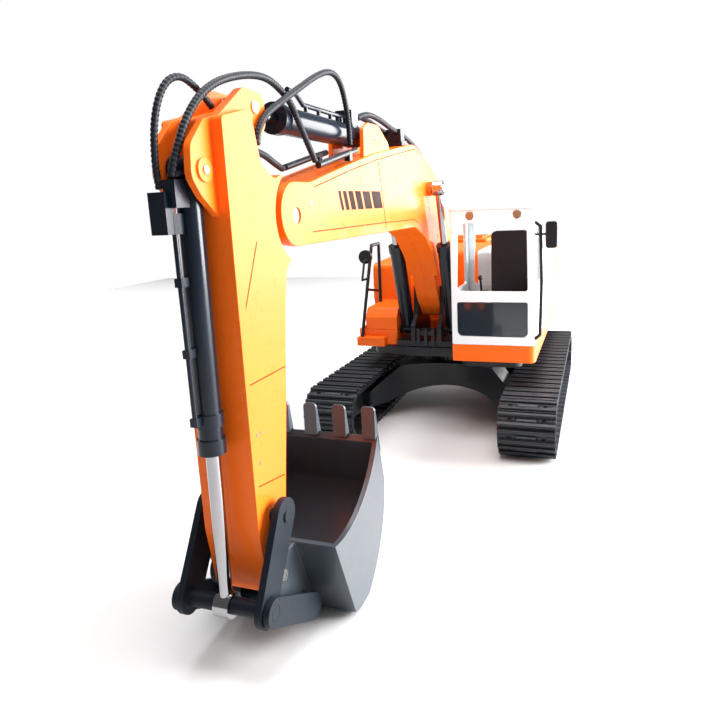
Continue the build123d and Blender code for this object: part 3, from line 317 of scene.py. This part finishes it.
def track_shoe(width):
    """One shoe: a plate with a slotted pad between two bars, its outer face at z = 0."""
    mesh = bmesh.new()
    half = width / 2
    overlap = PLATE_TOP - 0.1
    add_box(mesh, (-PLATE_HALF, -half, -PLATE_DEPTH), (PLATE_HALF, half, PLATE_TOP), taper=0.65)
    edges = [-half]
    for middle, wide in POCKETS:
        edges += [middle - wide / 2, middle + wide / 2]
    edges.append(half)
    for y0, y1 in zip(edges[0::2], edges[1::2]):
        add_box(mesh, (-1.7, y0, overlap), (1.7, y1, 0.0))
    for side in (-1, 1):
        x0, x1 = sorted((side * 1.6, side * 5.6))
        add_box(mesh, (x0, -half, overlap), (x1, half, 0.0))
        x0, x1 = sorted((side * 2.7, side * 5.0))
        add_box(mesh, (x0, -half + 0.3, -0.1), (x1, half - 0.3, GROUSER))
    sharp = [e for e in mesh.edges if e.is_manifold and e.calc_face_angle() > SHARP]
    bmesh.ops.bevel(mesh, geom=sharp, offset=EDGE_ROUND * MM, segments=2, affect="EDGES", profile=0.6)
    add_box(mesh, (-1.0, -7.0, overlap), (1.0, 7.0, 0.5), material=1)
    for face in mesh.faces:
        face.smooth = True
    return mesh


def track_belt(side):
    """A loop of shoes in the place of the plain belt."""
    node = side + "_track_belt"
    low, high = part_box(node)
    middle = (low + high) / 2
    reach = (high.z - low.z) / 2 / MM
    path_radius = reach - GROUSER
    run = (high.x - low.x) / MM - 2 * reach
    loop = 2 * run + 2 * math.pi * path_radius
    shoe = track_shoe((high.y - low.y) / MM)
    source = bpy.data.meshes.new("shoe")
    shoe.to_mesh(source)
    shoe.free()
    belt = bmesh.new()
    for count in range(SHOES):
        along = (count + 0.5) * loop / SHOES
        turn, x, z = loop_place(along, run, path_radius)
        first = len(belt.verts)
        belt.from_mesh(source)
        belt.verts.ensure_lookup_table()
        shift = Matrix.Translation(middle + Vector((x, 0, z)) * MM)
        place = shift @ Matrix.Rotation(turn, 4, "Y")
        bmesh.ops.transform(belt, matrix=place, verts=belt.verts[first:])
    bpy.data.meshes.remove(source)
    materials = [MATERIALS["track_plastic"], SHOE_PAD]
    thing = piece(side + "_shoes", belt, materials, "undercarriage")
    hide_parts(node)
    normals = thing.modifiers.new("normals", "WEIGHTED_NORMAL")
    normals.weight = 60


def loop_place(along, run, radius):
    """Where a distance along the belt's loop is: its turn about Y, and x and z from the middle."""
    arc = math.pi * radius
    if along < run:
        return 0.0, along - run / 2, radius
    along -= run
    if along < arc:
        angle = along / radius
        return angle, run / 2 + radius * math.sin(angle), radius * math.cos(angle)
    along -= arc
    if along < run:
        return math.pi, run / 2 - along, -radius
    angle = math.pi + (along - run) / radius
    return angle, -run / 2 + radius * math.sin(angle), radius * math.cos(angle)


def spline(points, spacing):
    """Points evenly spaced along a smooth curve through the middles of a route's legs."""
    fine = [points[0]]
    middles = [(a + b) / 2 for a, b in zip(points, points[1:])]
    fine += [points[0].lerp(middles[0], t / 8) for t in range(1, 8)]
    for a, corner, b in zip(middles, points[1:], middles[1:]):
        for step in range(16):
            t = step / 16
            fine.append(a * (1 - t) ** 2 + corner * 2 * t * (1 - t) + b * t ** 2)
    fine += [middles[-1].lerp(points[-1], t / 8) for t in range(0, 9)]
    even, left = [fine[0]], spacing
    for a, b in zip(fine, fine[1:]):
        length = (b - a).length
        place = left
        while place <= length:
            even.append(a.lerp(b, place / length))
            place += spacing
        left = place - length
    return even


RIB_PITCH = 1.7
RIB_PROFILE = (0.80, 0.97, 1.0, 0.97)  # radius round one pitch, as parts of the hose's radius
ROUND = 14


def ribbed_hose(name, route, radius, material):
    """A tube with a rounded rib at each pitch along its route."""
    centres = spline([machine(*point) for point in route], RIB_PITCH * MM / len(RIB_PROFILE))
    mesh = bmesh.new()
    rings = []
    side = None
    for count, centre in enumerate(centres):
        ahead = centres[min(count + 1, len(centres) - 1)] - centres[max(count - 1, 0)]
        ahead.normalize()
        if side is None:
            side = ahead.cross(Vector((0, 1, 0)) if abs(ahead.y) < 0.9 else Vector((1, 0, 0)))
        side = (side - ahead * side.dot(ahead)).normalized()
        other = ahead.cross(side)
        reach = radius * RIB_PROFILE[count % len(RIB_PROFILE)] * MM
        ring = []
        for step in range(ROUND):
            angle = 2 * math.pi * step / ROUND
            spoke = side * math.cos(angle) + other * math.sin(angle)
            ring.append(mesh.verts.new(centre + spoke * reach))
        rings.append(ring)
    for a, b in zip(rings, rings[1:]):
        for step in range(ROUND):
            after = (step + 1) % ROUND
            mesh.faces.new((a[step], b[step], b[after], a[after]))
    mesh.faces.new(rings[0])
    mesh.faces.new(list(reversed(rings[-1])))
    bmesh.ops.recalc_face_normals(mesh, faces=mesh.faces)
    for face in mesh.faces:
        face.smooth = len(face.verts) == 4
    return piece(name, mesh, [material])


STICK_ROUTES = {
    "cylinder_hose": [
        (386, -18.7, 196.4), (386, -19.3, 203), (386, -18.9, 211), (385.4, -18.2, 219), (383, -17.2, 227),
        (379, -16, 232.8), (373.5, -14.6, 234.8), (367, -14, 232.4), (361, -14, 229), (357, -14, 226.2),
    ],
    "stick_hose": [
        (384.5, -14.6, 200.3), (383.8, -13.5, 205), (381.5, -12.6, 211), (378.2, -11.6, 218.5),
        (373, -10.5, 225.5), (366.5, -9.6, 231), (357, -8.6, 235.8), (341, -7.6, 240), (326.5, -7.2, 241.3),
        (315, -7.2, 238.5), (306, -7, 234), (300, -6.8, 226.5), (293.5, -6.6, 219), (289, -6.5, 214),
        (285.2, -6.5, 209.9),
    ],
    "arm_hose": [
        (341.8, -5.2, 213.4), (340, -5.2, 219), (334, -5.2, 225), (326, -5.2, 229.2), (313.4, -5, 235),
        (302.7, -4.6, 240.1), (284, -4.2, 248.6), (267, -4.2, 254), (253, -4.6, 252), (243.5, -5.6, 240),
        (240, -6.2, 229), (239, -6.5, 220.6),
    ],
    "low_hose": [
        (340.5, -13, 211), (330, -13.8, 212.4), (320, -14.4, 211.4), (309.6, -16, 208.8), (298, -19, 207.4),
        (290, -22, 207), (284.4, -24.4, 208.1),
    ],
}
BODY_ROUTE = [
    (213.2, 237.8), (205, 240.5), (192, 242.5), (172, 241.5), (152, 238.5), (134, 236.8), (114, 234.8),
    (90, 229.5), (64, 219.5), (40, 205), (18, 187), (4, 167), (-8, 150), (-16, 137), (-21.4, 126.5),
]
HOSE_PITCH = 4.0  # half the distance between the two body hoses
BODY_HOSE, STICK_HOSE, CYLINDER_HOSE = 1.7, 1.5, 1.3  # radii


def stick_hoses():
    """The hoses round the stick's head; the bucket cylinder's rides on the stick and the others stay fixed where
    they are built.
    """
    rubber = MATERIALS["hose_rubber"]
    for name, route in STICK_ROUTES.items():
        radius = CYLINDER_HOSE if name == "cylinder_hose" else STICK_HOSE
        hose = ribbed_hose(name, route, radius, rubber)
        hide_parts("stick_hoses")
        if name == "cylinder_hose":
            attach(hose, "stick")
        else:
            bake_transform(hose)


def body_hoses():
    """The two hoses over the boom's back, between the body and the boom."""
    for name, side in (("body_hose_right", -1), ("body_hose_left", 1)):
        y = ARM_Y / MM + side * HOSE_PITCH
        route = [(x, y, z) for x, z in BODY_ROUTE]
        hose = ribbed_hose(name, route, BODY_HOSE, MATERIALS["hose_rubber"])
        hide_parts("body_hoses")
        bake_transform(hose)


def ribbon(mesh, points, y, width, lift=0.12):
    """A narrow flat strip on a side face at y, along (X, Z) points."""
    for (x0, z0), (x1, z1) in zip(points, points[1:]):
        along = Vector((x1 - x0, 0, z1 - z0)).normalized()
        across = Vector((-along.z, 0, along.x)) * (width / 2 * MM)
        outer = Vector((0, lift * MM, 0))
        a, b = machine(x0, y, z0), machine(x1, y, z1)
        ring = [a - across, b - across, b + across, a + across]
        top = [mesh.verts.new(v + outer) for v in ring]
        base = [mesh.verts.new(v) for v in ring]
        mesh.faces.new(top)
        for i in range(4):
            j = (i + 1) % 4
            mesh.faces.new((base[i], base[j], top[j], top[i]))
    bmesh.ops.recalc_face_normals(mesh, faces=mesh.faces)


def disc(mesh, x, y, z, radius, lift):
    """A low round screw head facing the machine's left."""
    turn = Matrix.Rotation(-math.pi / 2, 4, "X")
    bmesh.ops.create_cone(
        mesh,
        cap_ends=True,
        segments=20,
        radius1=radius * MM,
        radius2=radius * 0.9 * MM,
        depth=lift * MM,
        matrix=Matrix.Translation(machine(x, y, z)) @ turn,
    )


BOOM_HALF, STICK_HALF = 12.4, 12.75  # half the widths of boom and stick
BOOM_SIDE = ARM_Y / MM + BOOM_HALF
STICK_SIDE = ARM_Y / MM + STICK_HALF


def boom_seam_shadows():
    """Painted seam shadows (dark strips along the shell seams) and the screws on the boom's left side."""
    mesh = bmesh.new()
    ribbon(mesh, [(203, 213.5), (193, 173)], BOOM_SIDE, 0.55)
    ribbon(mesh, [(108, 223.5), (124, 226), (205, 214.5), (249, 206.8), (296, 197.4)], BOOM_SIDE, 0.5)
    ribbon(mesh, [(118, 173.5), (128, 176.5), (196, 177), (300, 177)], BOOM_SIDE, 0.5)
    piece("boom_seam_shadows", mesh, [SEAM_SHADE], "boom")
    screws = bmesh.new()
    for x in (150, 215, 262):
        disc(screws, x, BOOM_SIDE, 174, 1.1, 0.25)
    for x, z in ((300, 190), (228, 203)):
        disc(screws, x, BOOM_SIDE, z, 1.3, 0.25)
    piece("boom_screws", screws, [SCREW], "boom")


def boom_stripes():
    """Slanted stripes along the boom's side, growing shorter forwards."""
    mesh = bmesh.new()
    low, high, lean, gap = 186.0, 196.0, 4.0, 2.6
    x = 198.0
    for width in (16, 12, 9, 7, 5, 3.5):
        ring = [(x, low), (x + lean, high), (x + width + lean, high), (x + width, low)]
        mesh.faces.new([mesh.verts.new(machine(px, BOOM_SIDE + 0.06, pz)) for px, pz in ring])
        x += width + gap
    piece("boom_stripes", mesh, [DECAL], "boom")


def stick_seam_shadows():
    """Painted seam shadows (dark strips along the shell seams) and the screws on the stick's left side."""
    mesh = bmesh.new()
    ribbon(mesh, [(352, 176), (364, 152)], STICK_SIDE, 0.45)
    ribbon(mesh, [(337, 122), (366, 122)], STICK_SIDE, 0.45)
    ribbon(mesh, [(345, 76), (366, 80)], STICK_SIDE, 0.45)
    piece("stick_seam_shadows", mesh, [SEAM_SHADE], "stick")
    screws = bmesh.new()
    for x, z in ((361, 101), (364, 101), (363.5, 89)):
        disc(screws, x, STICK_SIDE, z, 0.8, 0.2)
    piece("stick_screws", screws, [SCREW], "stick")


finish_cad_nodes()
for side in ("left", "right"):
    track_belt(side)
stick_hoses()
body_hoses()
boom_seam_shadows()
boom_stripes()
stick_seam_shadows()


# ------------------------------------------------------------------ studio


CAMERA_PLACE = (565.2, 122.8, 187.9)
CAMERA_TURNS = (19.4, 11.1, -2.6)  # yaw to the machine's left, pitch down and roll, in degrees
CAMERA_LENS = 30.9
CAMERA_SHIFT = (-0.032, -0.047)
FLOOR_HALF = 1.1
SOFT_SKY = 0.19  # how bright the world is to everything but the camera


def camera():
    """A close, slightly wide view from the front left, a little above the cab."""
    yaw, pitch, roll = (math.radians(angle) for angle in CAMERA_TURNS)
    look = Vector((-math.cos(yaw) * math.cos(pitch), -math.sin(yaw) * math.cos(pitch), -math.sin(pitch)))
    right = look.cross(Vector((0, 0, 1))).normalized()
    up = right.cross(look)
    across = right * math.cos(roll) + up * math.sin(roll)
    above = up * math.cos(roll) - right * math.sin(roll)
    data = bpy.data.cameras.new("camera")
    data.lens = CAMERA_LENS
    data.sensor_width = 36.0
    data.shift_x, data.shift_y = CAMERA_SHIFT
    data.clip_start, data.clip_end = 0.01, 20.0
    thing = bpy.data.objects.new("camera", data)
    bpy.context.scene.collection.objects.link(thing)
    rotation = Matrix((across, above, -look)).transposed()
    thing.matrix_world = Matrix.Translation(machine(*CAMERA_PLACE)) @ rotation.to_4x4()
    bpy.context.scene.camera = thing


def area_light(name, place, target, size, power):
    data = bpy.data.lights.new(name, "AREA")
    data.shape = "RECTANGLE"
    data.size, data.size_y = size
    data.energy = power
    thing = bpy.data.objects.new(name, data)
    thing.location = place
    thing.rotation_mode = "QUATERNION"
    thing.rotation_quaternion = (Vector(target) - Vector(place)).to_track_quat("-Z", "Y")
    bpy.context.scene.collection.objects.link(thing)


def world_lighting(world):
    """A pure white backdrop behind the object and a softer even light on it."""
    nodes, links = world.node_tree.nodes, world.node_tree.links
    soft = nodes["Background"]
    soft.inputs["Color"].default_value = (1.0, 1.0, 1.0, 1)
    soft.inputs["Strength"].default_value = SOFT_SKY
    backdrop = nodes.new("ShaderNodeBackground")
    backdrop.inputs["Color"].default_value = (1.0, 1.0, 1.0, 1)
    backdrop.inputs["Strength"].default_value = 1.0
    path = nodes.new("ShaderNodeLightPath")
    mix = nodes.new("ShaderNodeMixShader")
    links.new(path.outputs["Is Camera Ray"], mix.inputs["Fac"])
    links.new(soft.outputs["Background"], mix.inputs[1])
    links.new(backdrop.outputs["Background"], mix.inputs[2])
    links.new(mix.outputs["Shader"], nodes["World Output"].inputs["Surface"])


def studio():
    """The floor, the white world and the soft lights: the brightest one is on the machine's left."""
    mesh = bpy.data.meshes.new("floor")
    half = FLOOR_HALF
    corners = [(-half, -half, 0), (half, -half, 0), (half, half, 0), (-half, half, 0)]
    mesh.from_pydata(corners, [], [(0, 1, 2, 3)])
    floor = bpy.data.objects.new("floor", mesh)
    mesh.materials.append(floor_material())
    bpy.context.scene.collection.objects.link(floor)
    world = bpy.data.worlds.new("studio")
    world.use_nodes = True
    world_lighting(world)
    bpy.context.scene.world = world
    middle = machine(120, 0, 110)
    area_light("key", machine(-420, 1330, 450), middle, (1.1, 0.9), 104.0)
    area_light("rim", machine(-1000, 650, 300), machine(200, 0, 100), (0.7, 0.7), 14.0)
    area_light("front_top", machine(330, 60, 650), machine(60, 0, 100), (0.4, 0.4), 3.5)
    area_light("top", machine(-100, 0, 1400), middle, (1.4, 1.4), 26.0)
    area_light("fill", machine(-200, -1400, 500), middle, (1.2, 1.0), 12.0)
    bpy.context.scene.view_settings.view_transform = "Standard"
    bpy.context.scene.view_settings.look = "None"


camera()
studio()
